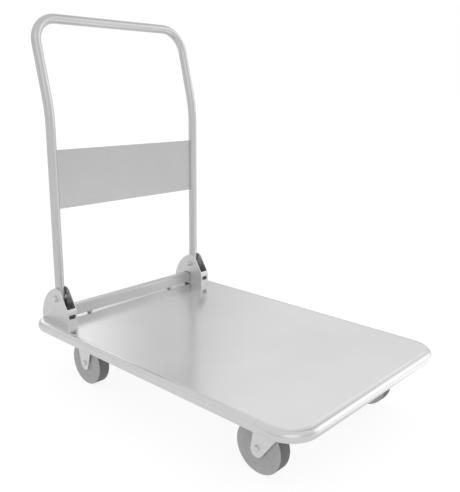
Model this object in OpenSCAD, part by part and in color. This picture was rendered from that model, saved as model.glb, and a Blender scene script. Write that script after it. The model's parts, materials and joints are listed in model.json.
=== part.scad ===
// Folding platform cart: pressed stainless deck, fold-down push handle with a kick panel,
// two hinge brackets, a sprung foot bar, two swivel casters in front and two rigid ones behind.
// Frame: origin on the floor under the middle of the deck, +X to the front (away from the
// handle), +Y to the pusher's left, +Z up. Millimetres.

/* [Deck] */
// Length of the deck over its rolled rim
deck_l = 910; // [880:5:960]
// Width of the deck over its rolled rim
deck_w = 600; // [580:5:640]
// Height of the load surface above the floor
deck_top = 167; // [165:1:175]
// Outer radius of the deck's corners
corner_r = 73; // [60:1:90]
// Height of the rolled rim
rim_h = 27; // [22:1:30]
// Thickness of the deck sheet
sheet_t = 2; // [1.5:0.5:2.5]

/* [Handle] */
// Outer diameter of the handle tube
tube_d = 24; // [22:0.5:25]
// Wall thickness of the handle tube
tube_wall = 1.2; // [1:0.1:2]
// Distance from the middle of the cart to each leg's centre line
leg_y = 247.3; // [235:0.1:250]
// Distance from the deck's rear edge to the leg's centre line
leg_back = 84.5; // [80:0.5:95]
// Height of the bend above the deck, where the leg starts to rake back
elbow_h = 551; // [500:1:600]
// Height of the top bar's centre line above the deck
bar_h = 779; // [720:1:820]
// How far the top bar stands behind the legs
bar_rake = 57; // [30:1:65]
// Bend radius of the handle's two top corners
top_bend_r = 65; // [50:1:80]
// Height of the kick panel's lower edge above the deck
panel_low = 304; // [280:1:330]
// Height of the kick panel's upper edge above the deck
panel_high = 456; // [430:1:480]

/* [Hinge] */
// Height of the hinge pivot above the deck
pivot_h = 65; // [62:1:68]
// Overall width of a hinge bracket
bracket_w = 30; // [30:0.5:34]
// Sheet thickness of a hinge bracket
bracket_t = 2.2; // [2:0.1:2.2]
// Height of the foot bar's top above the deck
foot_bar_top = 33.5; // [32:0.5:34]
// Depth of the foot bar from front to back
foot_bar_depth = 24; // [20:1:24]
// Distance from the deck's rear edge to the foot bar's front face
foot_bar_front = 86; // [84:0.5:88]

/* [Casters] */
// Diameter of the wheels
wheel_d = 120; // [114:1:122]
// Width of the wheel tread
wheel_w = 31; // [26:1:34]
// Distance from the middle of the cart to each wheel's centre plane
wheel_y = 209; // [200:1:220]
// Distance from the deck's rear edge to the rear axles
rear_axle_back = 157; // [155:1:160]
// Distance from the deck's front edge to the front casters' swivel axes
swivel_from_front = 115; // [110:1:130]
// Trail of the front wheels behind their swivel axes
trail = 35; // [30:1:38]

/* [Hidden] */

$fn = 64;
stainless = "silver";
zinc = "lightgray";
grey_rubber = "gray";
eps = 0.02;                         // overlap that keeps touching cuts clean

rear_x = -deck_l / 2;
leg_x = rear_x + leg_back;
pivot_z = deck_top + pivot_h;
sheet_z = deck_top - sheet_t;       // underside of the deck sheet

// Rim: a half-round roll with a shallow groove where it leaves the flat
rim_r = rim_h / 2;
rim_return = 8;                     // hem turned in below the roll
rim_land = 7;                       // flat strip between the sheet and the roll
rim_inset = rim_r + rim_land;       // where the flat sheet begins
groove_r = 1.6;
groove_depth = 1;

// Underside frame
mount_z = 150;                      // top face of the caster plates
hat_web_w = 110;
hat_flange = 15;
hat_t = 2;
hat_half_len = deck_w / 2 - 24;
stiffener_y = 130;
stiffener_web_w = 40;

// Handle
tube_r = tube_d / 2;
tail_drop = 18;                     // leg tube reaches this far below the pivot
rake_angle = atan2(bar_rake, bar_h - elbow_h);
rake_len = norm([bar_rake, bar_h - elbow_h]);
elbow_r = 326;
elbow_run = elbow_r * tan(rake_angle / 2);
panel_t = 1.5;

// Hinge pieces
pivot_r = 5;
bush_r = 7.5;
running_gap = 0.06;                 // radial clearance of every turning fit
lock_r = 26;                        // outer radius of the lock plate about the pivot
lock_t = 5;
notch_w = 7;
notch_depth = 5;
notch_back = 3.5;                   // the notch and its lug stand this far behind the pivot
screw_r = 3;
screw_seats = [[36, 0], [94.5, 2]];   // (from rear edge, flange under the sheet) of each screw
screw_head_r = 5.2;
screw_head_h = 3.2;
screw_nut_flats = 10;
screw_nut_h = 5;
rivet_r = 3.5;
rivet_head_r = 5;
rivet_head_h = 1.4;
rivet_at = [56, 23];                // (from rear edge, above deck)
pivot_flats = 15;
pivot_head_h = 6;
pivot_nut_h = 8;
washer_r = 10;
washer_t = 1.6;
hole_gap = 0.2;                     // radial clearance of every bolt hole

// Bracket outline: three arcs and a slanting front edge, (from rear edge, above deck)
crest_c = [90, 73];
crest_r = 22;
back_r = 102.7;
back_dir = -69.5;                   // direction from the crest's centre to the back arc's
back_c = crest_c + (back_r - crest_r) * [cos(back_dir), sin(back_dir)];
nose_dir = 32.2;                    // outward normal of the slanting front edge
nose_c = [112, 32.4];
nose_r = 25;
front_wall_h = 44;                  // the bracket's front is closed up to here, but for a window
window_w = 19;
window_h = 11;
window_low = 17.5;

// Foot bar
bar_t = 2;
bar_bend_r = 4;
bar_gap = 7;                        // height of the bar's ends above the deck
skirt_drop = 2.7;                   // between the brackets its front wall reaches this far lower
back_lip = 8;                       // and its back wall ends this far below the top
bar_half_len = leg_y + 10.5;
spring_y = 150;
spring_coil_r = 6;
spring_wire_r = 0.9;
spring_turns = 6;
post_r = 3.6;
post_h = 13;
post_base_r = 8.5;
post_base_t = 1.5;
lug_gap = 0.7;                      // clearance of the lug in its notch, all round

// Casters
wheel_r = wheel_d / 2;
tyre_bevel = 2;
core_r = wheel_r - 15;
core_rim_w = 5;                     // raised ring around the core's web
dish = 0.8;                         // depth of the web below that ring
hub_half = 17.5;
hub_r = 16;
bush_outer_r = 10;
sleeve_r = 7.5;
axle_r = 4;
axle_flats = 12;
axle_head_h = 4.5;
axle_nut_h = 7;
fork_in = 18.2;                     // inner face of a fork arm from the wheel's centre plane
fork_t = 3;
fork_out = fork_in + fork_t;
tip_drop = 4;                       // centre of an arm's round tip below the axle
swivel_tip_r = 16.5;
rigid_tip_r = 15;
front_lean = 35.9;                  // slant of a swivel arm's front edge, away from the axle
back_lean = 9;                      // slant of its back edge, towards the axle
fork_elbow = [51.5, 39];            // (ahead of the axle, above it) where the front edge steepens
fork_shoulder = 64;                 // reach of a swivel arm ahead of the axle at the crown
rigid_lean = 15;                    // slant of a rigid arm's two edges, away from the axle
crown_z = 127;                      // underside of a swivel fork's crown
crown_top = crown_z + fork_t - wheel_r;
crown_r = 30;
race_pitch_r = 21.5;
race_half_w = 6.5;
race_gap = 2;                       // each race stops this far from the balls' middle plane
ball_r = 3.5;
ball_z = 138;
balls = 12;
kingpin_r = 6;
kingpin_head_r = 10;
kingpin_head_h = 3.4;
plate_l = 105;
plate_w = 90;
plate_t = 3.5;
plate_corner_r = 8;
plate_hole_x = 40;
plate_hole_y = 32;
bolt_r = 4;
bolt_flats = 13;
bolt_head_h = 5.3;
bolt_len = 13;
bolt_nut_h = 6.5;
rear_axle_x = rear_x + rear_axle_back;
swivel_x = deck_l / 2 - swivel_from_front;
front_axle_x = swivel_x - trail;

// ---------- helpers ----------

// Points along an arc from angle a0 to a1 about c
function arc(c, r, a0, a1, n) =
    [for (i = [0:n]) c + r * [cos(a0 + (a1 - a0) * i / n), sin(a0 + (a1 - a0) * i / n)]];

// Extrudes an outline drawn in X and Z from y0 to y1
module along_y(y0, y1) {
    translate([0, y1, 0]) rotate([90, 0, 0]) linear_extrude(y1 - y0) children();
}

// Cylinder along Y from y0 to y1
module rod_y(r, y0, y1) {
    translate([0, y0, 0]) rotate([-90, 0, 0]) cylinder(r = r, h = y1 - y0);
}

// Hexagonal prism along Y, sized across its flats
module hex_y(flats, y0, y1) {
    translate([0, y0, 0]) rotate([-90, 0, 0]) cylinder(d = flats / cos(30), h = y1 - y0, $fn = 6);
}

module rounded_rect(l, w, r) {
    square([l - 2 * r, w], center = true);
    square([l, w - 2 * r], center = true);
    for (sx = [-1, 1], sy = [-1, 1])
        translate([sx * (l / 2 - r), sy * (w / 2 - r)]) circle(r);
}

module mirrored() {
    mirror([0, 1, 0]) children();
}

module both_sides() {
    children();
    mirrored() children();
}

// Puts a piece at the deck's rear edge, level with the load surface
module at_rear_edge() {
    translate([rear_x, 0, deck_top]) children();
}

// ---------- deck ----------

// Section of the rim: x runs outwards and ends at 0, y is height above the deck's underside
module rim_section() {
    difference() {
        union() {
            intersection() {
                translate([-rim_r, rim_r]) circle(rim_r);
                translate([-rim_r, 0]) square([rim_r, rim_h]);
            }
            translate([-rim_inset - eps, rim_h - sheet_t]) square([rim_land + 2 * eps, sheet_t]);
            translate([-rim_r - rim_return, 0]) square([rim_return + eps, sheet_t]);
        }
        translate([-rim_r, rim_r]) circle(rim_r - sheet_t);
        translate([-rim_r - groove_r, rim_h + groove_r - groove_depth]) circle(groove_r);
    }
}

module rim_side(len) {
    rotate([90, 0, 0]) translate([0, 0, -len / 2]) linear_extrude(len) rim_section();
}

module rim() {
    side_x = deck_l - 2 * corner_r;
    side_y = deck_w - 2 * corner_r;
    translate([0, 0, deck_top - rim_h]) {
        for (turn = [0, 180]) {
            rotate([0, 0, turn]) translate([deck_l / 2, 0, 0]) rim_side(side_y);
            rotate([0, 0, turn + 90]) translate([deck_w / 2, 0, 0]) rim_side(side_x);
        }
        for (sx = [-1, 1], sy = [-1, 1])
            translate([sx * side_x / 2, sy * side_y / 2, 0])
                rotate([0, 0, sx > 0 ? (sy > 0 ? 0 : 270) : (sy > 0 ? 90 : 180)])
                    rotate_extrude(angle = 90) translate([corner_r, 0]) rim_section();
    }
}

module bracket_screw_places() {
    both_sides()
        for (seat = screw_seats) translate([rear_x + seat[0], leg_y, 0]) children();
}

module deck_pan() {
    color(stainless) difference() {
        union() {
            translate([0, 0, sheet_z]) linear_extrude(sheet_t)
                rounded_rect(deck_l - 2 * rim_inset, deck_w - 2 * rim_inset, corner_r - rim_inset);
            rim();
        }
        bracket_screw_places() translate([0, 0, sheet_z - 1])
            cylinder(r = screw_r + hole_gap, h = sheet_t + 2);
    }
}

// Section of a hat channel: flanges up against the deck sheet, web at the bottom
module hat_section(web_w) {
    depth = sheet_z - mount_z;
    difference() {
        union() {
            translate([-web_w / 2, 0]) square([web_w, depth]);
            translate([-web_w / 2 - hat_flange, depth - hat_t])
                square([web_w + 2 * hat_flange, hat_t]);
        }
        translate([-web_w / 2 + hat_t, hat_t]) square([web_w - 2 * hat_t, depth]);
    }
}

module cross_member(x) {
    difference() {
        translate([x, 0, mount_z]) along_y(-hat_half_len, hat_half_len) hat_section(hat_web_w);
        both_sides() translate([x, wheel_y, 0]) plate_holes(mount_z - 1, hat_t + 2);
        bracket_screw_places() translate([0, 0, sheet_z - hat_t - 1])
            cylinder(r = screw_r + hole_gap, h = hat_t + 2);
    }
}

module front_cross_member() {
    color(stainless) cross_member(swivel_x);
}

module rear_cross_member() {
    color(stainless) cross_member(rear_axle_x);
}

// Long hat channel between the two cross members
module stiffener() {
    reach = hat_web_w / 2 + hat_flange;
    translate([rear_axle_x + reach, stiffener_y, mount_z])
        rotate([0, 0, 90]) along_y(-(swivel_x - rear_axle_x - 2 * reach), 0)
            hat_section(stiffener_web_w);
}

module stiffener_left() {
    color(stainless) stiffener();
}

module stiffener_right() {
    color(stainless) mirrored() stiffener();
}

// ---------- hinge brackets ----------

module bracket_outline(inset) {
    intersection() {
        polygon(concat(
            arc(back_c, back_r - inset, 185, 180 + back_dir, 24),
            arc(crest_c, crest_r - inset, 180 + back_dir, nose_dir, 12),
            arc(nose_c, nose_r - inset, nose_dir, 0, 8),
            [[nose_c[0] + nose_r - inset, -20]]));
        square([200, 200]);
    }
}

// One folded sheet: two cheeks, a curved back, a floor and a low front, open at the top
module bracket() {
    half = bracket_w / 2;
    inner = half - bracket_t;
    front_x = nose_c[0] + nose_r;
    stop_x = leg_back - tube_r - 0.3;
    slot_x = foot_bar_front - foot_bar_depth - 1;
    at_rear_edge() difference() {
        along_y(leg_y - half, leg_y + half) bracket_outline(0);
        along_y(leg_y - inner, leg_y + inner) intersection() {
            bracket_outline(bracket_t);
            translate([0, bracket_t]) square([200, 200]);
        }
        translate([stop_x, leg_y - inner, front_wall_h]) cube([200, 2 * inner, 200]);
        translate([front_x - bracket_t - 1, leg_y - window_w / 2, window_low])
            cube([bracket_t + 2, window_w, window_h]);
        translate([slot_x, leg_y - half - 1, bracket_t])
            cube([foot_bar_depth + 2, bracket_w / 2, foot_bar_top - bracket_t + 1]);
        translate([leg_back, 0, pivot_h]) rod_y(pivot_r + 0.1, leg_y - half - 1, leg_y + half + 1);
        translate([rivet_at[0], 0, rivet_at[1]])
            rod_y(rivet_r, leg_y - half - 1, leg_y + half + 1);
        for (seat = screw_seats) translate([seat[0], leg_y, -1])
            cylinder(r = screw_r + hole_gap, h = bracket_t + 2);
    }
}

module bracket_left() {
    color(stainless) bracket();
}

module bracket_right() {
    color(stainless) mirrored() bracket();
}

// Socket-head screws, their heads inside the bracket's floor
module bracket_screws() {
    seat_z = deck_top + bracket_t;
    tip_z = sheet_z - hat_t - screw_nut_h - 2;
    socket_flats = 4;
    socket_depth = 1.8;
    color(zinc) bracket_screw_places() difference() {
        union() {
            translate([0, 0, seat_z]) cylinder(r = screw_head_r, h = screw_head_h);
            translate([0, 0, tip_z]) cylinder(r = screw_r, h = seat_z + 1 - tip_z);
        }
        translate([0, 0, seat_z + screw_head_h - socket_depth])
            cylinder(d = socket_flats / cos(30), h = socket_depth + 1, $fn = 6);
    }
}

module bracket_nuts() {
    color(zinc) both_sides() for (seat = screw_seats)
        translate([rear_x + seat[0], leg_y, sheet_z - seat[1] - screw_nut_h]) difference() {
            cylinder(d = screw_nut_flats / cos(30), h = screw_nut_h, $fn = 6);
            translate([0, 0, -1]) cylinder(r = screw_r, h = screw_nut_h + 2);
        }
}

module guide_rivets() {
    half = bracket_w / 2;
    color(zinc) both_sides() at_rear_edge() translate([rivet_at[0], leg_y, rivet_at[1]]) {
        rod_y(rivet_r, -half, half);
        for (face = [-half - rivet_head_h, half]) rod_y(rivet_head_r, face, face + rivet_head_h);
    }
}

module at_pivot() {
    translate([leg_x, 0, pivot_z]) children();
}

module pivot_bolts() {
    head = leg_y + bracket_w / 2 + washer_t;
    tip = leg_y - bracket_w / 2 - washer_t - pivot_nut_h - 2.4;
    color(zinc) both_sides() at_pivot() {
        rod_y(pivot_r, tip, head + 1);
        hex_y(pivot_flats, head, head + pivot_head_h);
    }
}

module pivot_nuts() {
    seat = leg_y - bracket_w / 2 - washer_t;
    color(zinc) both_sides() at_pivot() difference() {
        hex_y(pivot_flats, seat - pivot_nut_h, seat);
        rod_y(pivot_r, seat - pivot_nut_h - 1, seat + 1);
    }
}

module pivot_washers() {
    half = bracket_w / 2;
    color(zinc) both_sides() at_pivot() for (y = [leg_y - half - washer_t, leg_y + half])
        difference() {
            rod_y(washer_r, y, y + washer_t);
            rod_y(pivot_r, y - 1, y + washer_t + 1);
        }
}

// ---------- handle ----------

// Everything above the elbow leans back about this point
module at_elbow() {
    translate([leg_x, 0, deck_top + elbow_h]) rotate([0, -rake_angle, 0]) children();
}

// Short ring that joins two lengths of bent rod of radius r across their shared end
module joint_ring(r) {
    translate([0, 0, -0.5]) cylinder(r = r + 0.01, h = 1);
}

// One leg as a bent rod of radius r; grow lengthens it past its open tail
module leg_rod(r, grow) {
    tail_z = pivot_z - tail_drop - grow;
    bend_z = deck_top + elbow_h - elbow_run;
    translate([leg_x, leg_y, tail_z]) cylinder(r = r, h = bend_z - tail_z);
    translate([leg_x, leg_y, bend_z]) joint_ring(r);
    translate([leg_x - elbow_r, leg_y, bend_z]) rotate([90, 0, 0])
        rotate_extrude(angle = rake_angle) translate([elbow_r, 0]) circle(r);
    at_elbow() {
        translate([0, leg_y, elbow_run]) {
            joint_ring(r);
            cylinder(r = r, h = rake_len - top_bend_r - elbow_run);
        }
        translate([0, leg_y, rake_len - top_bend_r]) joint_ring(r);
        translate([0, leg_y - top_bend_r, rake_len - top_bend_r])
            rotate([90, 0, 90]) rotate_extrude(angle = 90) translate([top_bend_r, 0]) circle(r);
        translate([0, leg_y - top_bend_r, rake_len]) rotate([90, 0, 0]) joint_ring(r);
    }
}

module handle_rod(r, grow) {
    bar_half = leg_y - top_bend_r;
    both_sides() leg_rod(r, grow);
    at_elbow() translate([0, 0, rake_len]) rod_y(r, -bar_half, bar_half);
}

module handle_tube() {
    color(stainless) difference() {
        handle_rod(tube_r, 0);
        handle_rod(tube_r - tube_wall, 1);
        both_sides() at_pivot() rod_y(bush_r, leg_y - tube_d, leg_y + tube_d);
    }
}

module handle_panel() {
    color(stainless) difference() {
        translate([leg_x - panel_t / 2, -leg_y, deck_top + panel_low])
            cube([panel_t, 2 * leg_y, panel_high - panel_low]);
        both_sides() translate([leg_x, leg_y, deck_top]) cylinder(r = tube_r, h = elbow_h);
    }
}

module pivot_bushes() {
    half = tube_r + 0.4;
    color(zinc) both_sides() at_pivot() difference() {
        rod_y(bush_r, leg_y - half, leg_y + half);
        rod_y(pivot_r + running_gap, leg_y - half - 1, leg_y + half + 1);
    }
}

// Round-edged plate in each leg's tail; its notch stands over the foot bar's lug
module lock_plates() {
    half_w = 10;
    color(stainless) both_sides() at_pivot() along_y(leg_y - lock_t / 2, leg_y + lock_t / 2)
        difference() {
            intersection() {
                circle(lock_r);
                translate([-half_w, -lock_r]) square([2 * half_w, lock_r - bush_r - 1]);
            }
            translate([-notch_back - notch_w / 2, -lock_r - 1])
                square([notch_w, notch_depth + 1]);
        }
}

// ---------- foot bar ----------

module foot_bar_section() {
    h = foot_bar_top - bar_gap;
    r = bar_bend_r;
    difference() {
        rounded_top(foot_bar_depth, h, r);
        translate([bar_t, -1]) rounded_top(foot_bar_depth - 2 * bar_t, h - bar_t + 1, r - bar_t);
    }
}

module rounded_top(w, h, r) {
    square([w, h - r]);
    translate([r, 0]) square([w - 2 * r, h]);
    for (x = [r, w - r]) translate([x, h - r]) circle(r);
}

module release_bar() {
    open_half = leg_y - bracket_w / 2 - 1;
    lip_z = foot_bar_top - bar_gap - back_lip;
    color(stainless) at_rear_edge() translate([foot_bar_front - foot_bar_depth, 0, bar_gap]) {
        difference() {
            along_y(-bar_half_len, bar_half_len) foot_bar_section();
            translate([-1, -open_half, -1]) cube([bar_t + 1, 2 * open_half, lip_z + 1]);
        }
        translate([foot_bar_depth - bar_t, -open_half, -skirt_drop])
            cube([bar_t, 2 * open_half, skirt_drop + eps]);
    }
}

module lock_lugs() {
    lug_w = notch_w - 2 * lug_gap;
    lug_top = pivot_h - lock_r - lug_gap;
    color(stainless) both_sides() at_rear_edge()
        translate([leg_back - notch_back - lug_w / 2, leg_y - lock_t / 2, foot_bar_top])
            cube([lug_w, lock_t, lug_top - foot_bar_top]);
}

module at_springs() {
    both_sides() at_rear_edge()
        translate([foot_bar_front - foot_bar_depth / 2, spring_y, 0]) children();
}

module spring_posts() {
    color(zinc) at_springs() {
        cylinder(r = post_base_r, h = post_base_t);
        cylinder(r = post_r, h = post_h);
    }
}

// Closed tube of rings swept along a helix
module helix(coil_r, wire_r, z0, z1, turns) {
    per_turn = 14;
    sides = 8;
    n = turns * per_turn;
    points = [for (i = [0:n], j = [0:sides - 1])
        let (a = 360 * i / per_turn, b = 360 * j / sides, r = coil_r + wire_r * cos(b))
        [r * cos(a), r * sin(a), z0 + (z1 - z0) * i / n + wire_r * sin(b)]];
    skin = [for (i = [0:n - 1], j = [0:sides - 1])
        let (k = (j + 1) % sides)
        [i * sides + j, i * sides + k, (i + 1) * sides + k, (i + 1) * sides + j]];
    polyhedron(points, concat(skin,
        [[for (j = [sides - 1:-1:0]) j]],
        [[for (j = [0:sides - 1]) n * sides + j]]), convexity = 10);
}

module release_springs() {
    low = post_base_t + spring_wire_r;
    high = foot_bar_top - bar_t - spring_wire_r;
    color(zinc) at_springs() helix(spring_coil_r, spring_wire_r, low, high, spring_turns);
}

// ---------- casters ----------

module plate_places() {
    for (sx = [-1, 1], sy = [-1, 1])
        translate([sx * plate_hole_x, sy * plate_hole_y, 0]) children();
}

module plate_holes(z, h) {
    plate_places() translate([0, 0, z]) cylinder(r = bolt_r + hole_gap, h = h);
}

module mounting_plate() {
    translate([0, 0, mount_z - plate_t]) linear_extrude(plate_t)
        rounded_rect(plate_l, plate_w, plate_corner_r);
}

module at_swivel() {
    translate([swivel_x, wheel_y, 0]) children();
}

// Ring with a ball groove, as a revolved section
module race_ring(z0, z1, groove_z, groove) {
    rotate_extrude() difference() {
        translate([race_pitch_r - race_half_w, z0]) square([2 * race_half_w, z1 - z0]);
        translate([race_pitch_r, groove_z]) circle(groove);
    }
}

module caster_plate() {
    at_swivel() difference() {
        union() {
            mounting_plate();
            race_ring(ball_z + race_gap, mount_z - plate_t + eps, ball_z - 0.2, ball_r + 0.2);
        }
        plate_holes(mount_z - plate_t - 1, plate_t + 2);
        translate([0, 0, crown_z]) cylinder(r = kingpin_r, h = 40);
    }
}

module swivel_balls() {
    at_swivel() for (i = [0:balls - 1]) rotate([0, 0, 360 * i / balls])
        translate([race_pitch_r, 0, ball_z]) sphere(ball_r, $fn = 32);
}

module kingpin() {
    at_swivel() {
        translate([0, 0, crown_z - kingpin_head_h - 0.5])
            cylinder(r = kingpin_head_r, h = kingpin_head_h);
        translate([0, 0, crown_z - 1]) cylinder(r = kingpin_r, h = mount_z - crown_z + 1);
    }
}

// Point where an arm's slanting edge leaves its round tip, about the axle
function edge_foot(tip_r, lean) = [tip_r * cos(lean), -tip_drop - tip_r * sin(lean)];

// Reach of that edge at a height above the axle
function edge_reach(tip_r, lean, height) = tip_r / cos(lean) + (height + tip_drop) * tan(lean);

crown_back = edge_reach(swivel_tip_r, -back_lean, crown_top);

// Side view of a swivel fork arm about its axle: round tip, two slanting edges
module swivel_arm_outline() {
    front = edge_foot(swivel_tip_r, front_lean);
    back = edge_foot(swivel_tip_r, -back_lean);
    translate([0, -tip_drop]) circle(swivel_tip_r);
    polygon([[-back[0], back[1]], front, fork_elbow,
        [fork_shoulder, crown_top], [-crown_back, crown_top]]);
}

module swivel_fork() {
    translate([front_axle_x, wheel_y, 0]) difference() {
        union() {
            for (side = [-fork_out, fork_in])
                translate([0, 0, wheel_r]) along_y(side, side + fork_t) swivel_arm_outline();
            translate([0, 0, crown_z]) linear_extrude(fork_t) {
                translate([-crown_back, -fork_out])
                    square([crown_back + fork_shoulder - 4, 2 * fork_out]);
                translate([trail, 0]) circle(crown_r);
            }
            translate([trail, 0, 0])
                race_ring(crown_z + fork_t - eps, ball_z - race_gap, ball_z, ball_r + 0.3);
        }
        translate([0, 0, wheel_r]) rod_y(axle_r + 0.1, -fork_out - 1, fork_out + 1);
        translate([trail, 0, crown_z - 1]) cylinder(r = kingpin_r + running_gap, h = fork_t + 2);
    }
}

// Side view of a rigid fork arm about its axle: round tip, even taper
module rigid_arm_outline() {
    top = mount_z - plate_t - wheel_r + eps;
    reach = edge_reach(rigid_tip_r, rigid_lean, top);
    side = edge_foot(rigid_tip_r, rigid_lean);
    translate([0, -tip_drop]) circle(rigid_tip_r);
    polygon([[-side[0], side[1]], side, [reach, top], [-reach, top]]);
}

module rigid_fork() {
    translate([rear_axle_x, wheel_y, 0]) difference() {
        union() {
            for (side = [-fork_out, fork_in])
                translate([0, 0, wheel_r]) along_y(side, side + fork_t) rigid_arm_outline();
            mounting_plate();
        }
        plate_holes(mount_z - plate_t - 1, plate_t + 2);
        translate([0, 0, wheel_r]) rod_y(axle_r + 0.1, -fork_out - 1, fork_out + 1);
    }
}

module caster_places() {
    both_sides() for (x = [rear_axle_x, swivel_x]) translate([x, wheel_y, 0]) plate_places()
        children();
}

module caster_bolts() {
    seat_z = mount_z - plate_t;
    color(zinc) caster_places() {
        translate([0, 0, seat_z - bolt_head_h])
            cylinder(d = bolt_flats / cos(30), h = bolt_head_h, $fn = 6);
        translate([0, 0, seat_z - 1]) cylinder(r = bolt_r, h = bolt_len + 1);
    }
}

module caster_nuts() {
    color(zinc) caster_places() translate([0, 0, mount_z + hat_t]) difference() {
        cylinder(d = bolt_flats / cos(30), h = bolt_nut_h, $fn = 6);
        translate([0, 0, -1]) cylinder(r = bolt_r, h = bolt_nut_h + 2);
    }
}

// Axle pieces and wheel pieces lie about an axle at the origin, outer side towards +Y
module axle_bolt() {
    rod_y(axle_r, -fork_out - axle_nut_h - 1.5, fork_out + 1);
    hex_y(axle_flats, fork_out, fork_out + axle_head_h);
}

module axle_nut() {
    difference() {
        hex_y(axle_flats, -fork_out - axle_nut_h, -fork_out);
        rod_y(axle_r, -fork_out - axle_nut_h - 1, -fork_out + 1);
    }
}

module axle_sleeve() {
    difference() {
        rod_y(sleeve_r, -fork_in + 0.1, fork_in - 0.1);
        rod_y(axle_r + 0.1, -fork_in - 1, fork_in + 1);
    }
}

module tyre() {
    half = wheel_w / 2;
    shoulder_r = wheel_r - tyre_bevel;
    rotate([90, 0, 0]) rotate_extrude() polygon([[core_r, -half], [shoulder_r, -half],
        [wheel_r, -half + tyre_bevel], [wheel_r, half - tyre_bevel], [shoulder_r, half],
        [core_r, half]]);
}

module wheel_core() {
    half = wheel_w / 2;
    web_half = half - dish;
    web_r = core_r - core_rim_w;
    rotate([90, 0, 0]) rotate_extrude() polygon([[bush_outer_r, -hub_half], [hub_r, -hub_half],
        [hub_r + 1, -web_half], [web_r, -web_half], [web_r + 1, -half], [core_r, -half],
        [core_r, half], [web_r + 1, half], [web_r, web_half], [hub_r + 1, web_half],
        [hub_r, hub_half], [bush_outer_r, hub_half]]);
}

module wheel_bush() {
    difference() {
        rod_y(bush_outer_r, -hub_half, hub_half);
        rod_y(sleeve_r + running_gap, -hub_half - 1, hub_half + 1);
    }
}

module at_front_axle() {
    translate([front_axle_x, wheel_y, wheel_r]) children();
}

module at_rear_axle() {
    translate([rear_axle_x, wheel_y, wheel_r]) children();
}

module rear_axle_bolts() {
    color(zinc) both_sides() at_rear_axle() axle_bolt();
}

module rear_axle_nuts() {
    color(zinc) both_sides() at_rear_axle() axle_nut();
}

module rear_axle_sleeves() {
    color(zinc) both_sides() at_rear_axle() axle_sleeve();
}

// ---------- nodes ----------

deck_pan();
front_cross_member();
rear_cross_member();
stiffener_left();
stiffener_right();
bracket_left();
bracket_right();
bracket_screws();
bracket_nuts();
guide_rivets();
pivot_bolts();
pivot_nuts();
pivot_washers();
spring_posts();
handle_tube();
handle_panel();
pivot_bushes();
lock_plates();
release_bar();
lock_lugs();
release_springs();
color(zinc) caster_plate();  // caster_plate_left
color(zinc) mirrored() caster_plate();  // caster_plate_right
color(zinc) swivel_balls();  // swivel_balls_left
color(zinc) mirrored() swivel_balls();  // swivel_balls_right
color(zinc) kingpin();  // kingpin_left
color(zinc) mirrored() kingpin();  // kingpin_right
caster_bolts();
caster_nuts();
color(zinc) rigid_fork();  // rigid_fork_left
color(zinc) mirrored() rigid_fork();  // rigid_fork_right
rear_axle_bolts();
rear_axle_nuts();
rear_axle_sleeves();
color(zinc) swivel_fork();  // swivel_fork_left
color(zinc) mirrored() swivel_fork();  // swivel_fork_right
color(zinc) at_front_axle() axle_bolt();  // front_axle_bolt_left
color(zinc) mirrored() at_front_axle() axle_bolt();  // front_axle_bolt_right
color(zinc) at_front_axle() axle_nut();  // front_axle_nut_left
color(zinc) mirrored() at_front_axle() axle_nut();  // front_axle_nut_right
color(zinc) at_front_axle() axle_sleeve();  // front_axle_sleeve_left
color(zinc) mirrored() at_front_axle() axle_sleeve();  // front_axle_sleeve_right
color(grey_rubber) at_front_axle() tyre();  // tyre_front_left
color(grey_rubber) mirrored() at_front_axle() tyre();  // tyre_front_right
color(grey_rubber) at_rear_axle() tyre();  // tyre_rear_left
color(grey_rubber) mirrored() at_rear_axle() tyre();  // tyre_rear_right
color(grey_rubber) at_front_axle() wheel_core();  // wheel_core_front_left
color(grey_rubber) mirrored() at_front_axle() wheel_core();  // wheel_core_front_right
color(grey_rubber) at_rear_axle() wheel_core();  // wheel_core_rear_left
color(grey_rubber) mirrored() at_rear_axle() wheel_core();  // wheel_core_rear_right
color(zinc) at_front_axle() wheel_bush();  // wheel_bush_front_left
color(zinc) mirrored() at_front_axle() wheel_bush();  // wheel_bush_front_right
color(zinc) at_rear_axle() wheel_bush();  // wheel_bush_rear_left
color(zinc) mirrored() at_rear_axle() wheel_bush();  // wheel_bush_rear_right
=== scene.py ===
"""Looks of the folding platform cart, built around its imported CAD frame.

Everything is in metres in the frame's own axes: +X to the front, +Y to the pusher's left,
+Z up, with the origin on the floor under the middle of the deck.
"""
import json
import math

import bmesh
import bpy
from mathutils import Matrix, Vector


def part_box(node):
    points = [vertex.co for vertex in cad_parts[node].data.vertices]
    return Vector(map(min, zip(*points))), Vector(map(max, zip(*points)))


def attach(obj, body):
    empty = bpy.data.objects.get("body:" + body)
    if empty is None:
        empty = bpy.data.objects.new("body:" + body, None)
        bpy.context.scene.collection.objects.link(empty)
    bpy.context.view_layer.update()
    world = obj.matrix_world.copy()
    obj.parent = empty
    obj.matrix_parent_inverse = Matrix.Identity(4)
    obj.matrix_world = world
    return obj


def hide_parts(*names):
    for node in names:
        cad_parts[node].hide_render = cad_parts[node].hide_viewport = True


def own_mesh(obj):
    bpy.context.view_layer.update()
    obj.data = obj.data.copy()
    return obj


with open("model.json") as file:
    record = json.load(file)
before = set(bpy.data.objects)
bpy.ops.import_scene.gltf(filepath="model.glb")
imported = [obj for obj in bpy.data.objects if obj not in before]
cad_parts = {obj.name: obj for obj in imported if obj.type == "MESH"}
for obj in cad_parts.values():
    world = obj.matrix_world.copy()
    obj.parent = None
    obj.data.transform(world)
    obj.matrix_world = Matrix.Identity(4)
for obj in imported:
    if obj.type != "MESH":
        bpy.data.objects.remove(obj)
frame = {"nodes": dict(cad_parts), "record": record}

NODES = frame["nodes"]
JOINTS = {joint["name"]: joint for joint in frame["record"]["behaviour"]["joints"]}
MM = 0.001
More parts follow.
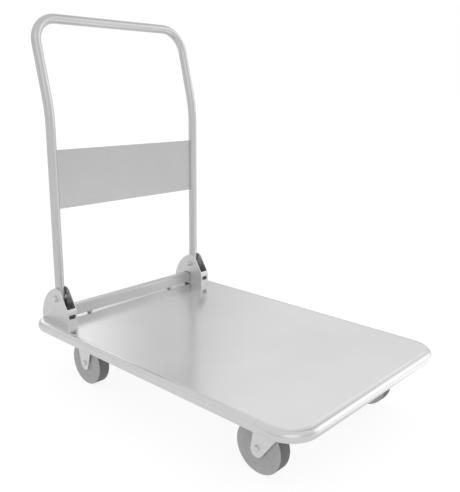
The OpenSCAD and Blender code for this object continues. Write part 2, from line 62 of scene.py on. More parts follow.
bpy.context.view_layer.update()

# Camera: where it stands, its heading and its tilt in degrees, and its lens
CAMERA_AT = (1.0414, -1.1262, 0.780)
CAMERA_HEADING = 132.32
CAMERA_PITCH = -14.07
CAMERA_ROLL = 0.59
CAMERA_LENS = 46.1

# Steel is seen in steel several times over around the hinge brackets
MIRROR_DEPTH = 10

FLOOR_RADIUS = 30.0

# The floor's own light, and how much brighter a painted pool of light makes it towards the front
FLOOR_LEVEL = 0.62
FLOOR_PAINTED_POOL = 0.5
FLOOR_PAINTED_POOL_AT = (0.95, 0.85, 0)
FLOOR_PAINTED_POOL_REACH = (0.3, 1.0)
# What the camera itself sees of the floor and of the studio behind it
FLOOR_SHOWN = 0.86
GROUND_SHOWN = 1.0

# Light of the studio: radiance near the horizon and overhead, and where one turns into the other
HORIZON_LEVEL = 0.67
OVERHEAD_LEVEL = 0.78
LIFT_FROM = 21
LIFT_TO = 36

# Soft panels: heading, elevation, inner and outer radius in degrees, strength.
# The last one is a dark flag, which takes light away.
SOFT_PANELS = [
    (60, 15, 8, 34, 0.62),
    (112, 28, 18, 24, 0.20),
    (159, 22, 9, 18, 0.50),
    (226, 6, 6, 26, 0.12),
    (318, 27, 8, 32, 0.30),
    (95, 52, 8, 24, -0.20),
]

SIDES = {"left": 1, "right": -1}
AXIS_X, AXIS_Y, AXIS_Z = Vector((1, 0, 0)), Vector((0, 1, 0)), Vector((0, 0, 1))

# Fasteners: shank radius, width across flats, head and nut heights, thread pitch
PIVOT_BOLT = {"shank": 5 * MM, "flats": 15 * MM, "head": 6 * MM, "nut": 8 * MM, "pitch": 1.5 * MM}
AXLE_BOLT = {"shank": 4 * MM, "flats": 12 * MM, "head": 4.5 * MM, "nut": 7 * MM, "pitch": 1.25 * MM}
CASTER_BOLT = {"shank": 4 * MM, "flats": 13 * MM, "head": 5.3 * MM, "nut": 6.5 * MM,
               "pitch": 1.25 * MM}
BRACKET_SCREW = {"shank": 3 * MM, "flats": 10 * MM, "head": 3.2 * MM, "nut": 5 * MM,
                 "pitch": 1.0 * MM, "head_r": 5.2 * MM, "socket": 4 * MM, "socket_deep": 1.8 * MM}


# ---------- node trees ----------

class Tree:
    """A node tree that is written from code."""

    def __init__(self, tree):
        self.tree = tree

    def add(self, kind, inputs=(), **settings):
        """Adds a node; inputs are (socket, value or output) pairs."""
        node = self.tree.nodes.new(kind)
        for key, value in settings.items():
            setattr(node, key, value)
        for socket, value in dict(inputs).items():
            if isinstance(value, bpy.types.NodeSocket):
                self.tree.links.new(value, node.inputs[socket])
            else:
                node.inputs[socket].default_value = value
        return node

    def span(self, value, low, high, start=0.3, stop=0.7, smooth=False):
        """Maps a texture's start..stop to low..high."""
        shape = "SMOOTHSTEP" if smooth else "LINEAR"
        return self.add("ShaderNodeMapRange", {"Value": value, 1: start, 2: stop, 3: low, 4: high},
                        interpolation_type=shape).outputs[0]

    def maths(self, operation, a, b=0.0):
        return self.add("ShaderNodeMath", {0: a, 1: b}, operation=operation).outputs[0]


class Shader(Tree):
    """One material's node tree: a Principled shader and what feeds it.

    Textures are placed by the piece's own coordinates, in metres.
    """

    def __init__(self, name, **sockets):
        self.material = bpy.data.materials.new(name)
        self.material.use_nodes = True
        super().__init__(self.material.node_tree)
        self.principled = self.tree.nodes["Principled BSDF"]
        self.place = self.add("ShaderNodeTexCoord").outputs["Object"]
        for socket, value in sockets.items():
            self.principled.inputs[socket.replace("_", " ")].default_value = value

    def feed(self, socket, output):
        self.tree.links.new(output, self.principled.inputs[socket])

    def stretched(self, per_metre, turn=0.0):
        """Coordinates turned about Z, in cycles per metre along each axis."""
        turned = self.add("ShaderNodeMapping", {"Vector": self.place,
                                                "Rotation": (0, 0, math.radians(turn))})
        return self.add("ShaderNodeMapping", {"Vector": turned.outputs[0],
                                              "Scale": per_metre}).outputs[0]

    def noise(self, per_metre, detail=3.0, turn=0.0, roughness=0.5):
        return self.add("ShaderNodeTexNoise", {
            "Vector": self.stretched(per_metre, turn), "Scale": 1.0,
            "Detail": detail, "Roughness": roughness}).outputs["Fac"]

    def blend(self, factor, a, b):
        """Colour between a and b by factor."""
        return self.add("ShaderNodeMix", {0: factor, 6: a, 7: b}, data_type="RGBA").outputs[2]

    def bump(self, height, depth, under=None):
        """Relief whose full height is depth metres, on top of another bump's normal."""
        inputs = {"Height": height, "Distance": depth, "Strength": 1.0}
        if under is not None:
            inputs["Normal"] = under
        return self.add("ShaderNodeBump", inputs).outputs[0]

    def scratches(self, turn, length, width, share):
        """Sparse fine lines along one direction: 1 on a line, 0 elsewhere."""
        lines = self.noise((1 / length, 1 / width, 1 / width), 1.0, turn)
        return self.span(lines, 0, 1, 1 - share, 1 - share + 0.02)

    def axle_distance(self):
        """Distance from the piece's own Y axis, for wheels."""
        parts = self.add("ShaderNodeSeparateXYZ", {0: self.place}).outputs
        squares = self.maths("ADD", self.maths("MULTIPLY", parts["X"], parts["X"]),
                             self.maths("MULTIPLY", parts["Z"], parts["Z"]))
        return self.maths("SQRT", squares)


def grey(level, warm=0.0):
    return (level * (1 + warm), level, level * (1 - warm), 1)


# ---------- materials ----------

SCRATCH_DEPTH = 0.004 * MM
BRUSHED = (1400, 12, 1400)


def stainless(name, level, roughness, grain, grain_depth, wear):
    """Ground or polished stainless steel. grain is its cycles per metre along X, Y and Z."""
    s = Shader(name, Metallic=1.0)
    cloud = s.noise((5, 5, 5), 4.0)
    lines = s.noise(grain, 3.0)
    tone = s.maths("ADD", s.maths("MULTIPLY", cloud, 0.6), s.maths("MULTIPLY", lines, 0.4))
    s.feed("Base Color", s.blend(s.span(tone, 0, 1), grey(level * 0.965, 0.003),
                                 grey(level * 1.035, -0.003)))
    smudge = s.span(s.noise((14, 14, 14), 3.0), -0.5 * wear, wear)
    marks = s.maths("MAXIMUM", s.scratches(12, 0.12, 0.0006, 0.26),
                    s.scratches(-31, 0.08, 0.0005, 0.25))
    rough = s.maths("ADD", s.span(lines, roughness * 0.8, roughness * 1.2), smudge)
    s.feed("Roughness", s.maths("ADD", rough, s.maths("MULTIPLY", marks, wear)))
    fine = s.bump(lines, grain_depth)
    s.feed("Normal", s.bump(marks, -SCRATCH_DEPTH, fine))
    return s.material


def zinc_plated():
    """Pressed zinc-plated steel: a fine crystal pattern and clouded brightness."""
    s = Shader("zinc_plated_steel", Metallic=1.0)
    cloud = s.noise((60, 60, 60), 5.0)
    crystals = s.add("ShaderNodeTexVoronoi", {"Vector": s.place, "Scale": 900.0})
    s.feed("Base Color", s.blend(s.span(cloud, 0, 1), (0.77, 0.775, 0.78, 1),
                                 (0.825, 0.822, 0.815, 1)))
    s.feed("Roughness", s.span(cloud, 0.30, 0.44))
    s.feed("Normal", s.bump(crystals.outputs["Distance"], 0.00002))
    return s.material


def moulded(name, low, high, roughness, stipple):
    """Moulded plastic: a mottled tone and a fine stippled skin."""
    s = Shader(name)
    cloud = s.noise((40, 40, 40), 4.0)
    speck = s.noise((1500, 1500, 1500), 2.0)
    s.feed("Base Color", s.blend(s.span(cloud, 0, 1), low, high))
    s.feed("Roughness", s.span(cloud, roughness * 0.9, roughness * 1.1))
    s.feed("Normal", s.bump(speck, stipple))
    return s.material


def tyre_rubber(tread_from):
    """Grey rubber whose running face, beyond a radius from the axle, is painted darker: painted
    shade for the shade the tread sits in under the deck.
    """
    s = Shader("tyre_grey")
    cloud = s.noise((45, 45, 45), 4.0)
    scuff = s.noise((25, 420, 25), 4.0)
    speck = s.noise((1300, 1300, 1300), 2.0)
    radius = s.maths("ADD", s.axle_distance(), s.span(cloud, -0.0002, 0.0002))
    tread = s.span(radius, 0, 1, tread_from - 0.0006, tread_from + 0.0003, smooth=True)
    wall = s.blend(s.span(cloud, 0, 1), grey(0.43), grey(0.475))
    # The running face's darker grey is painted shade, mottled by the scuff noise.
    shaded_tread = s.blend(s.span(scuff, 0, 1), grey(0.148), grey(0.205))
    s.feed("Base Color", s.blend(tread, wall, shaded_tread))
    s.feed("Roughness", s.add("ShaderNodeMix", {0: tread, 2: 0.5, 3: 0.75}).outputs[0])
    scuffed = s.bump(s.maths("MULTIPLY", scuff, tread), 0.0002)
    s.feed("Normal", s.bump(speck, 0.00006, scuffed))
    return s.material


WHEEL_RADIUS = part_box("tyre_rear_left")[1][2] - JOINTS["wheel_rear_left_spin"]["pos_m"][2]

MATERIALS = {
    "deck_stainless": stainless("deck_stainless", 0.77, 0.20, (12, 1500, 1500), 0.000004, 0.03),
    "tube_stainless": stainless("tube_stainless", 0.655, 0.33, (700, 700, 20), 0.000004, 0.04),
    "sheet_stainless": stainless("sheet_stainless", 0.755, 0.42, BRUSHED, 0.000010, 0.04),
    "frame_stainless": stainless("frame_stainless", 0.64, 0.36, (30, 900, 900), 0.000010, 0.06),
    "zinc_plated_steel": zinc_plated(),
    "tyre_grey": tyre_rubber(WHEEL_RADIUS - 0.7 * MM),
    "wheel_core_grey": moulded("wheel_core_grey", grey(0.423), grey(0.468), 0.45, 0.00004),
    "bush_nylon": moulded("bush_nylon", (0.80, 0.78, 0.72, 1), (0.86, 0.84, 0.78, 1), 0.4,
                          0.00002),
}

SLOTS = {part["node"]: part["material_slot"] for part in frame["record"]["subparts"]}
for node, slot in SLOTS.items():
    NODES[node].data.materials.clear()
    NODES[node].data.materials.append(MATERIALS[slot])
# The kick panel and the foot bar are darker copies of the stainless sheet: painted shade for the
# darker tone they show in their light.
NODES["handle_panel"].data.materials[0] = stainless(
    "panel_stainless_painted_shade", 0.58, 0.34, BRUSHED, 0.000010, 0.04)
NODES["release_bar"].data.materials[0] = stainless(
    "bar_stainless_painted_shade", 0.64, 0.38, BRUSHED, 0.000010, 0.04)


# ---------- mesh building ----------

def piece(name, bm, body, *nodes, slot=None, at=(0, 0, 0), sharp=35):
    """Makes an object of a bmesh that rides on a body and stands for some CAD nodes."""
    slot = slot or SLOTS[nodes[0]]
    bmesh.ops.recalc_face_normals(bm, faces=bm.faces)
    mesh = bpy.data.meshes.new(name)
    bm.to_mesh(mesh)
    bm.free()
    mesh.shade_smooth()
    mesh.set_sharp_from_angle(angle=math.radians(sharp))
    mesh.materials.append(MATERIALS[slot])
    obj = bpy.data.objects.new(name, mesh)
    obj.location = at
    bpy.context.scene.collection.objects.link(obj)
    bpy.context.view_layer.update()
    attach(obj, body)
    if nodes:
        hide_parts(*nodes)
    return obj


def loft(bm, rings, closed=False):
    """Skins a row of rings of points. closed joins the last to the first, else both are capped."""
    rows = [[bm.verts.new(point) for point in ring] for ring in rings]
    count = len(rows[0])
    pairs = list(zip(rows, rows[1:])) + ([(rows[-1], rows[0])] if closed else [])
    for low, high in pairs:
        for i in range(count):
            j = (i + 1) % count
            bm.faces.new((low[i], low[j], high[j], high[i]))
    if not closed:
        bm.faces.new(rows[0])
        bm.faces.new(rows[-1])


def frame_of(origin, axis):
    """Matrix that puts local +Z along axis at origin."""
    turn = AXIS_Z.rotation_difference(axis).to_matrix().to_4x4()
    return Matrix.Translation(origin) @ turn


def circle(radius, height, count=48, start=0.0):
    return [Vector((radius * math.cos(a), radius * math.sin(a), height))
            for a in (start + 2 * math.pi * i / count for i in range(count))]


def hexagon(flats, height, count=48, chamfer_from=None):
    """Points round a hexagon. With chamfer_from, corners beyond that radius are turned down."""
    points = []
    for i in range(count):
        a = 2 * math.pi * i / count
        off = (a + math.pi / 6) % (math.pi / 3) - math.pi / 6
        radius = flats / 2 / math.cos(math.pi / 6 - abs(off))
        drop = 0 if chamfer_from is None else max(0, radius - chamfer_from) * math.tan(math.pi / 6)
        points.append(Vector((radius * math.cos(a), radius * math.sin(a), height - drop)))
    return points


def placed(matrix, rings):
    return [[matrix @ point for point in ring] for ring in rings]


def thread_rings(radius, pitch, start, stop, count=24, relief=0.09):
    """Rings of a threaded rod between two heights, ending in a chamfer."""
    steps = max(2, round((stop - start) / pitch * 4))
    rings = []
    for k in range(steps + 1):
        z = start + (stop - start) * k / steps
        ring = []
        for i in range(count):
            turn = i / count
            wave = abs(((z / pitch - turn) % 1) * 2 - 1)
            r = radius * (0.985 - relief * wave)
            a = 2 * math.pi * turn
            ring.append(Vector((r * math.cos(a), r * math.sin(a), z)))
        rings.append(ring)
    rings.append(circle(radius * 0.78, stop + 0.4 * MM, count))
    return rings


def hex_bolt(bm, matrix, size, length):
    """Hex-head bolt: seat at local height 0, head above it, threaded shank below it."""
    flats, head = size["flats"], size["head"]
    crown = flats / 2 * 0.96
    loft(bm, placed(matrix, [
        circle(crown, 0.0), hexagon(flats, 0.35 * MM), hexagon(flats, head, chamfer_from=crown),
        circle(crown, head), circle(crown * 0.62, head), circle(crown * 0.56, head - 0.3 * MM)]))
    down = matrix @ Matrix.Rotation(math.pi, 4, "X")
    loft(bm, placed(down, thread_rings(size["shank"], size["pitch"], -0.5 * MM, length - 0.4 * MM)))


def hex_nut(bm, matrix, size):
    """Nut with its seat at local height 0."""
    flats, high, bore = size["flats"], size["nut"], size["shank"]
    crown = flats / 2 * 0.96
    loft(bm, placed(matrix, [
        circle(bore, 0.6 * MM), circle(bore * 1.12, 0.0), circle(crown, 0.0),
        [Vector((p.x, p.y, high - p.z)) for p in hexagon(flats, high, chamfer_from=crown)],
        hexagon(flats, high, chamfer_from=crown), circle(crown, high),
        circle(bore * 1.12, high), circle(bore, high - 0.6 * MM)]), closed=True)


def turned(bm, matrix, profile, count=48, closed=True):
    """Solid of revolution about local Z from (radius, height) points."""
    loft(bm, placed(matrix, [circle(r, z, count) for r, z in profile]), closed=closed)


def solids_of(node):
    """Boxes of the separate solids in a CAD node, as (lowest, highest) corners."""
    bm = bmesh.new()
    bm.from_mesh(NODES[node].data)
    bmesh.ops.remove_doubles(bm, verts=bm.verts, dist=0.01 * MM)
    left = set(bm.verts)
    boxes = []
    while left:
        grow = [left.pop()]
        found = []
        while grow:
            vert = grow.pop()
            found.append(vert.co.copy())
            for edge in vert.link_edges:
                other = edge.other_vert(vert)
                if other in left:
                    left.remove(other)
                    grow.append(other)
        boxes.append((Vector([min(p[i] for p in found) for i in range(3)]),
                      Vector([max(p[i] for p in found) for i in range(3)])))
    bm.free()
    return boxes


def outward(box):
    """Direction away from the middle of the cart, along Y."""
    return AXIS_Y if (box[0].y + box[1].y) > 0 else -AXIS_Y


def middle(box):
    return (box[0] + box[1]) / 2


# ---------- fasteners ----------

def sideways_bolts(name, size, body, node):
    """Bolts along Y whose heads face away from the cart's middle."""
    bm = bmesh.new()
    for box in solids_of(node):
        out = outward(box)
        length = box[1].y - box[0].y - size["head"]
        seat = middle(box)
        seat.y = (box[1].y if out.y > 0 else box[0].y) - out.y * size["head"]
        hex_bolt(bm, frame_of(seat, out), size, length)
    piece(name, bm, body, node)


def sideways_nuts(name, size, body, node):
    bm = bmesh.new()
    for box in solids_of(node):
        out = outward(box)
        seat = middle(box)
        seat.y = box[1].y if out.y > 0 else box[0].y
        hex_nut(bm, frame_of(seat, -out), size)
    piece(name, bm, body, node)


def pivot_washers():
    bm = bmesh.new()
    for box in solids_of("pivot_washers"):
        thick, radius = box[1].y - box[0].y, (box[1].x - box[0].x) / 2
        bore, edge = PIVOT_BOLT["shank"], 0.35 * MM
        foot = middle(box)
        foot.y = box[0].y
        turned(bm, frame_of(foot, AXIS_Y), [
            (bore, 0), (radius - edge, 0), (radius, edge), (radius, thick - edge),
            (radius - edge, thick), (bore + edge, thick)])
    piece("pivot_washers_turned", bm, "deck", "pivot_washers")


def caster_fasteners():
    bolts, nuts = bmesh.new(), bmesh.new()
    for box in solids_of("caster_bolts"):
        seat = middle(box)
        seat.z = box[0].z + CASTER_BOLT["head"]
        hex_bolt(bolts, frame_of(seat, -AXIS_Z), CASTER_BOLT, box[1].z - seat.z)
    for box in solids_of("caster_nuts"):
        seat = middle(box)
        seat.z = box[0].z
        hex_nut(nuts, frame_of(seat, AXIS_Z), CASTER_BOLT)
    piece("caster_bolts_threaded", bolts, "deck", "caster_bolts")
    piece("caster_nuts_chamfered", nuts, "deck", "caster_nuts")


def bracket_fasteners():
    """Socket-head screws inside the brackets' floors, with their nuts under the deck."""
    size = BRACKET_SCREW
    screws, nuts = bmesh.new(), bmesh.new()
    for box in solids_of("bracket_screws"):
        seat = middle(box)
        seat.z = box[1].z - size["head"]
        place = frame_of(seat, AXIS_Z)
        edge, floor_z = 0.4 * MM, size["head"] - size["socket_deep"]
        loft(screws, placed(place, [
            circle(size["head_r"], 0), circle(size["head_r"], size["head"] - edge),
            circle(size["head_r"] - edge, size["head"]),
            hexagon(size["socket"] + 0.5 * MM, size["head"]),
            hexagon(size["socket"], size["head"] - 0.3 * MM),
            hexagon(size["socket"], floor_z), circle(0.4 * MM, floor_z - 0.5 * MM)]))
        down = place @ Matrix.Rotation(math.pi, 4, "X")
        loft(screws, placed(down, thread_rings(size["shank"], size["pitch"], -0.3 * MM,
                                               seat.z - box[0].z - 0.4 * MM)))
    for box in solids_of("bracket_nuts"):
        seat = middle(box)
        seat.z = box[1].z
        hex_nut(nuts, frame_of(seat, -AXIS_Z), size)
    piece("bracket_screws_threaded", screws, "deck", "bracket_screws")
    piece("bracket_nuts_chamfered", nuts, "deck", "bracket_nuts")


def guide_rivets():
    """Rivets across the brackets, with domed heads."""
    head_high, steps = 1.4 * MM, 6
    bm = bmesh.new()
    for box in solids_of("guide_rivets"):
        half, head_r = (box[1].y - box[0].y) / 2 - head_high, (box[1].x - box[0].x) / 2
        shank_r = head_r * 0.7
        dome = [(head_r * math.cos(a), half + head_high * math.sin(a))
                for a in (math.radians(90 * k / steps) for k in range(steps))]
        dome.append((head_r * 0.08, half + head_high))
        profile = [(shank_r, half - 1 * MM), (shank_r, half), (head_r, half)] + dome[1:]
        turned(bm, frame_of(middle(box), AXIS_Y),
               [(r, -z) for r, z in reversed(profile)] + profile, closed=False)
    piece("guide_rivets_domed", bm, "deck", "guide_rivets")


def release_springs():
    """Coil springs under the foot bar, with closed, flat-ground end turns."""
    turns, per_turn, sides, closed_turns = 7, 28, 10, 1.0
    bm = bmesh.new()
    wire = 0.9 * MM
    closed_pitch = 1.9 * wire
    for box in solids_of("release_springs"):
        centre = middle(box)
        coil = (box[1].x - box[0].x) / 2 - wire
        low, high = box[0].z + wire, box[1].z - wire
        rings = []
        for k in range(turns * per_turn + 1):
            turn = k / per_turn
            active = min(max(turn - closed_turns, 0) / (turns - 2 * closed_turns), 1)
            rise = closed_pitch * (min(turn, closed_turns) + max(0, turn - (turns - closed_turns)))
            z = low + rise + active * (high - low - 2 * closed_turns * closed_pitch)
            a = 2 * math.pi * turn
            out = Vector((math.cos(a), math.sin(a), 0))
            spot = Vector((centre.x, centre.y, z)) + coil * out
            ring = []
            for i in range(sides):
                b = 2 * math.pi * i / sides
                point = spot + wire * (math.cos(b) * out + math.sin(b) * AXIS_Z)
                point.z = min(max(point.z, box[0].z + 0.3 * MM), box[1].z - 0.3 * MM)
                ring.append(point)
            rings.append(ring)
        loft(bm, rings)
    springs = piece("release_springs_wound", bm, "deck", "release_springs")
    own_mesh(springs)


# ---------- wheels ----------

def rounded(corners, steps=5):
    """Profile through (radius, height, fillet) corners, each rounded by its fillet."""
    points = []
    for i, (r, z, fillet) in enumerate(corners):
        here = Vector((r, z))
        before = Vector(corners[i - 1][:2]) - here
        after = Vector(corners[(i + 1) % len(corners)][:2]) - here
        if not fillet:
            points.append((r, z))
            continue
        half = before.angle(after) / 2
        reach = fillet / math.tan(half)
        start, stop = here + before.normalized() * reach, here + after.normalized() * reach
        bisector = (before.normalized() + after.normalized()).normalized()
        centre = here + bisector * (fillet / math.sin(half))
        for k in range(steps + 1):
            chord = start.lerp(stop, k / steps) - centre
            points.append(tuple(centre + chord.normalized() * fillet))
    return points


def tyre(name, body, axle, node):
    """Tyre: filleted shoulders, a ring groove in each wall, a moulding line round the tread."""
    low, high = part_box(node)
    half = (high[1] - low[1]) / 2
    outer = (high[0] - low[0]) / 2
    inner = outer - 15 * MM
    groove = outer - 9 * MM
    wide, deep = 0.8 * MM, 0.35 * MM
    half_profile = [
        (inner, half, 0), (groove - wide, half, 0.15 * MM), (groove, half - deep, 0.3 * MM),
        (groove + wide, half, 0.15 * MM), (outer - 0.1 * MM, half, 1.8 * MM)]
    ridge = [(outer - 0.15 * MM, 0.5 * MM, 0), (outer, 0.15 * MM, 0)]
    ring = half_profile + ridge + [(r, -z, f) for r, z, f in reversed(half_profile + ridge)]
    bm = bmesh.new()
    turned(bm, frame_of(Vector(), AXIS_Y), rounded(ring, 4), count=128)
    piece(name, bm, body, node, at=axle, sharp=40)


def wheel_core(name, body, axle, node):
    """Moulded centre: raised ring, shallow web, round hub and six low ribs between them."""
    low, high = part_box(node)
    outer = (high[0] - low[0]) / 2
    hub_half = (high[1] - low[1]) / 2
    tyre_low, tyre_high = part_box(node.replace("wheel_core", "tyre"))
    half = (tyre_high[1] - tyre_low[1]) / 2
    web, hub, bore = half - 0.8 * MM, 16 * MM, 10 * MM
    half_profile = [
        (bore, hub_half, 0), (hub - 0.5 * MM, hub_half, 0.4 * MM), (hub + 0.7 * MM, web, 0.5 * MM),
        (outer - 5 * MM, web, 0.5 * MM), (outer - 4 * MM, half, 0.4 * MM), (outer, half, 0)]
    ring = half_profile + [(r, -z, f) for r, z, f in reversed(half_profile)]
    bm = bmesh.new()
    turned(bm, frame_of(Vector(), AXIS_Y), rounded(ring, 4), count=96)
    ribs, thick, rise = 6, 1.6 * MM, 0.5 * MM
    for side in (1, -1):
        for k in range(ribs):
            turn = Matrix.Rotation(2 * math.pi * (k + 0.5) / ribs, 4, "Y")
            y0, y1 = side * (web - 0.4 * MM), side * (web + rise)
            rows = []
            for r in (hub - 1 * MM, outer - 3 * MM):
                rows.append([turn @ Vector((r, y, z)) for y, z in (
                    (y0, -thick), (y1, -thick * 0.6), (y1, thick * 0.6), (y0, thick))])
            loft(bm, rows)
    piece(name, bm, body, node, at=axle, sharp=40)


def wheels():
    for end in ("front", "rear"):
        for side in SIDES:
            place = f"{end}_{side}"
            axle = Vector(JOINTS[f"wheel_{place}_spin"]["pos_m"])
            tyre(f"tyre_{place}_moulded", f"wheel_{place}", axle, f"tyre_{place}")
            wheel_core(f"wheel_core_{place}_moulded", f"wheel_{place}", axle, f"wheel_core_{place}")


# ---------- welds and softened edges ----------

def bead(bm, start, stop, radius, ripple=1.6 * MM):
    """A weld bead with a rippled back between two points."""
    along = stop - start
    count = max(4, round(along.length / ripple * 2))
    side = along.cross(Vector((0.31, 0.52, 0.79))).normalized()
    other = along.normalized().cross(side)
    rings = []
    for k in range(count + 1):
        swell = radius * (1 + (0.12 if k % 2 else -0.06))
        if k in (0, count):
            swell *= 0.45
        spot = start.lerp(stop, k / count)
        rings.append([spot + swell * (math.cos(a) * side + math.sin(a) * other)
                      for a in (2 * math.pi * i / 10 for i in range(10))])
    loft(bm, rings)


def panel_welds():
    """Beads where the kick panel meets the two legs."""
    low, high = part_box("handle_panel")
    inner = high[1] - 0.1 * MM
    bm = bmesh.new()
    for side in (1, -1):
        for x in (low[0] - 0.3 * MM, high[0] + 0.3 * MM):
            bead(bm, Vector((x, side * inner, low[2] + 1 * MM)),
                 Vector((x, side * inner, high[2] - 1 * MM)), 0.9 * MM)
    piece("panel_welds", bm, "handle", slot="tube_stainless", sharp=60)


def stitch(bm, start, stop, radius, length, gap):
    """Short beads at even distances along a line."""
    along = stop - start
    count = max(1, int((along.length + gap) / (length + gap)))
    pitch = along.length / count
    way = along.normalized()
    for k in range(count):
        centre = start + way * pitch * (k + 0.5)
        bead(bm, centre - way * length / 2, centre + way * length / 2, radius)


def frame_welds():
    """Stitch welds that hold the two cross members and the two stiffeners to the deck."""
    bm = bmesh.new()
    size, run, gap = 1.3 * MM, 28 * MM, 55 * MM
    for node in ("front_cross_member", "rear_cross_member"):
        low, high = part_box(node)
        z = high[2] - size * 0.8
        for x in (low[0], high[0]):
            stitch(bm, Vector((x, low[1] + 10 * MM, z)), Vector((x, high[1] - 10 * MM, z)),
                   size, run, gap)
    for side in SIDES:
        low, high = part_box(f"stiffener_{side}")
        z = high[2] - size * 0.8
        for y in (low[1], high[1]):
            stitch(bm, Vector((low[0] + 5 * MM, y, z)), Vector((high[0] - 5 * MM, y, z)),
                   size, run, gap)
    piece("frame_welds", bm, "deck", slot="frame_stainless", sharp=60)


def fork_welds():
    """Beads along the top of each rigid fork's arms, under the plate."""
    bm = bmesh.new()
    arm_out, arm_thick, plate_thick, reach, size = 21.2 * MM, 3 * MM, 3.5 * MM, 37 * MM, 1.4 * MM
    for side in SIDES:
        axle = Vector(JOINTS[f"wheel_rear_{side}_spin"]["pos_m"])
        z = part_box(f"rigid_fork_{side}")[1][2] - plate_thick - 0.3 * MM
        for y in (arm_out, arm_out - arm_thick, -arm_out, arm_thick - arm_out):
            bead(bm, Vector((axle.x - reach, axle.y + y, z)),
                 Vector((axle.x + reach, axle.y + y, z)), size)
    piece("fork_welds", bm, "deck", slot="zinc_plated_steel", sharp=60)


SOFT_EDGES = {
    "bracket_left": 0.45, "bracket_right": 0.45, "release_bar": 0.35, "handle_panel": 0.3,
    "rigid_fork_left": 0.5, "rigid_fork_right": 0.5, "swivel_fork_left": 0.5,
    "swivel_fork_right": 0.5, "front_cross_member": 0.5, "rear_cross_member": 0.5,
    "stiffener_left": 0.5, "stiffener_right": 0.5, "lock_plates": 0.4, "lock_lugs": 0.3,
    "caster_plate_left": 0.4, "caster_plate_right": 0.4, "spring_posts": 0.3,
    "kingpin_left": 0.5, "kingpin_right": 0.5,
}
# Pieces whose flat faces are merged first, so that no thin triangle is left beside their holes.
# The others aren't merged: a bracket's face would bulge out of its plane.
FLAT_FACED = {
    "rigid_fork_left", "rigid_fork_right", "caster_plate_left", "caster_plate_right",
    "front_cross_member", "rear_cross_member",
}
# Corners closer than this are joined; faces flatter than FLAT_ANGLE are one; edges sharper than
# EDGE_ANGLE are rounded
WELD_REACH = 0.005 * MM
FLAT_ANGLE = math.radians(0.5)
EDGE_ANGLE = math.radians(40)


def soften_edges():
    """Small rounds on the cut edges of sheet and bar parts."""
    for node, width in SOFT_EDGES.items():
        obj = NODES[node]
        weld = obj.modifiers.new("join", "WELD")
        weld.merge_threshold = WELD_REACH
        if node in FLAT_FACED:
            flat = obj.modifiers.new("flat", "DECIMATE")
            flat.decimate_type = "DISSOLVE"
            flat.angle_limit = FLAT_ANGLE
        bevel = obj.modifiers.new("round", "BEVEL")
        bevel.width = width * MM
        bevel.segments = 2
        bevel.limit_method = "ANGLE"
        bevel.angle_limit = EDGE_ANGLE
        bevel.harden_normals = True


# ---------- studio ----------

def direction(heading, elevation):
    heading, elevation = math.radians(heading), math.radians(elevation)
    return Vector((math.cos(elevation) * math.cos(heading),
                   math.cos(elevation) * math.sin(heading), math.sin(elevation)))


def studio_world():
    """White studio: even light at the horizon, brighter above, and a few soft panels."""
    world = bpy.data.worlds.new("studio")
    world.use_nodes = True
    t = Tree(world.node_tree)
    background = t.tree.nodes["Background"]
    background.inputs["Color"].default_value = grey(1)
    ray = t.add("ShaderNodeTexCoord").outputs["Generated"]
    height = t.add("ShaderNodeSeparateXYZ", {0: ray}).outputs["Z"]
    level = t.span(height, HORIZON_LEVEL, OVERHEAD_LEVEL, math.sin(math.radians(LIFT_FROM)),
                   math.sin(math.radians(LIFT_TO)), smooth=True)
    for heading, elevation, inner, outer, strength in SOFT_PANELS:
        facing = t.add("ShaderNodeVectorMath", {0: ray, 1: direction(heading, elevation)},
                       operation="DOT_PRODUCT").outputs["Value"]
        glow = t.span(facing, 0.0, strength, math.cos(math.radians(outer)),
                      math.cos(math.radians(inner)), smooth=True)
        level = t.maths("ADD", level, glow)
    seen = t.add("ShaderNodeLightPath").outputs["Is Camera Ray"]
    shown = t.add("ShaderNodeMix", {0: seen, 2: level, 3: GROUND_SHOWN}).outputs[0]
    t.tree.links.new(shown, background.inputs["Strength"])
    bpy.context.scene.world = world


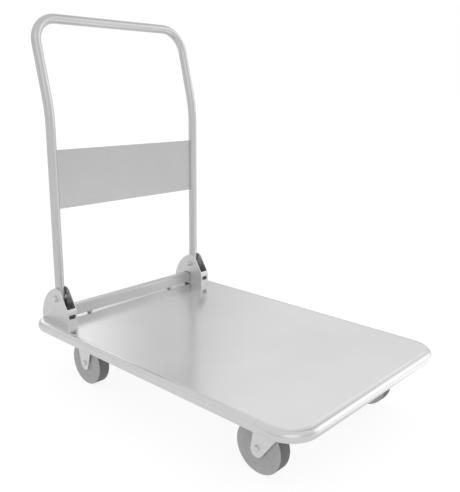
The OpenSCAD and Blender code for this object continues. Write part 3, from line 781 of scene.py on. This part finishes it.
def floor():
    bm = bmesh.new()
    bmesh.ops.create_circle(bm, cap_ends=True, radius=FLOOR_RADIUS, segments=96)
    mesh = bpy.data.meshes.new("floor")
    bm.to_mesh(mesh)
    bm.free()
    s = Shader("floor", Roughness=0.9)
    cloud = s.noise((3, 3, 3), 3.0)
    s.feed("Base Color", s.blend(s.span(cloud, 0, 1), grey(0.20), grey(0.22)))
    s.principled.inputs["Specular IOR Level"].default_value = 0.0
    s.principled.inputs["Emission Color"].default_value = grey(1)
    # Emission raised towards the front of the cart: a painted pool of light on the floor.
    away = s.add("ShaderNodeVectorMath", {0: s.place, 1: FLOOR_PAINTED_POOL_AT}, operation="DISTANCE")
    glow = s.span(away.outputs["Value"], FLOOR_LEVEL + FLOOR_PAINTED_POOL, FLOOR_LEVEL,
                  *FLOOR_PAINTED_POOL_REACH, smooth=True)
    seen = s.add("ShaderNodeLightPath").outputs["Is Camera Ray"]
    shown = s.add("ShaderNodeMix", {0: seen, 2: glow, 3: FLOOR_SHOWN}).outputs[0]
    s.feed("Emission Strength", shown)
    mesh.materials.append(s.material)
    plane = bpy.data.objects.new("floor", mesh)
    bpy.context.scene.collection.objects.link(plane)


def camera():
    forward = direction(CAMERA_HEADING, CAMERA_PITCH)
    roll = math.radians(CAMERA_ROLL)
    level = forward.cross(AXIS_Z).normalized()
    upright = level.cross(forward)
    right = math.cos(roll) * level + math.sin(roll) * upright
    up = math.cos(roll) * upright - math.sin(roll) * level
    data = bpy.data.cameras.new("camera")
    data.lens = CAMERA_LENS
    data.sensor_width = 36
    data.clip_start = 0.05
    data.clip_end = 200
    cam = bpy.data.objects.new("camera", data)
    cam.matrix_world = Matrix((
        (right.x, up.x, -forward.x, CAMERA_AT[0]),
        (right.y, up.y, -forward.y, CAMERA_AT[1]),
        (right.z, up.z, -forward.z, CAMERA_AT[2]),
        (0, 0, 0, 1)))
    bpy.context.scene.collection.objects.link(cam)
    bpy.context.scene.camera = cam


wheels()
for place, size in (("pivot", PIVOT_BOLT), ("rear_axle", AXLE_BOLT)):
    sideways_bolts(f"{place}_bolts_threaded", size, "deck", f"{place}_bolts")
    sideways_nuts(f"{place}_nuts_chamfered", size, "deck", f"{place}_nuts")
for side in SIDES:
    sideways_bolts(f"front_axle_bolt_{side}_threaded", AXLE_BOLT, f"swivel_{side}",
                   f"front_axle_bolt_{side}")
    sideways_nuts(f"front_axle_nut_{side}_chamfered", AXLE_BOLT, f"swivel_{side}",
                  f"front_axle_nut_{side}")
pivot_washers()
caster_fasteners()
bracket_fasteners()
guide_rivets()
release_springs()
panel_welds()
frame_welds()
fork_welds()
soften_edges()

studio_world()
floor()
camera()
bpy.context.scene.view_settings.view_transform = "Standard"
bpy.context.scene.cycles.glossy_bounces = MIRROR_DEPTH
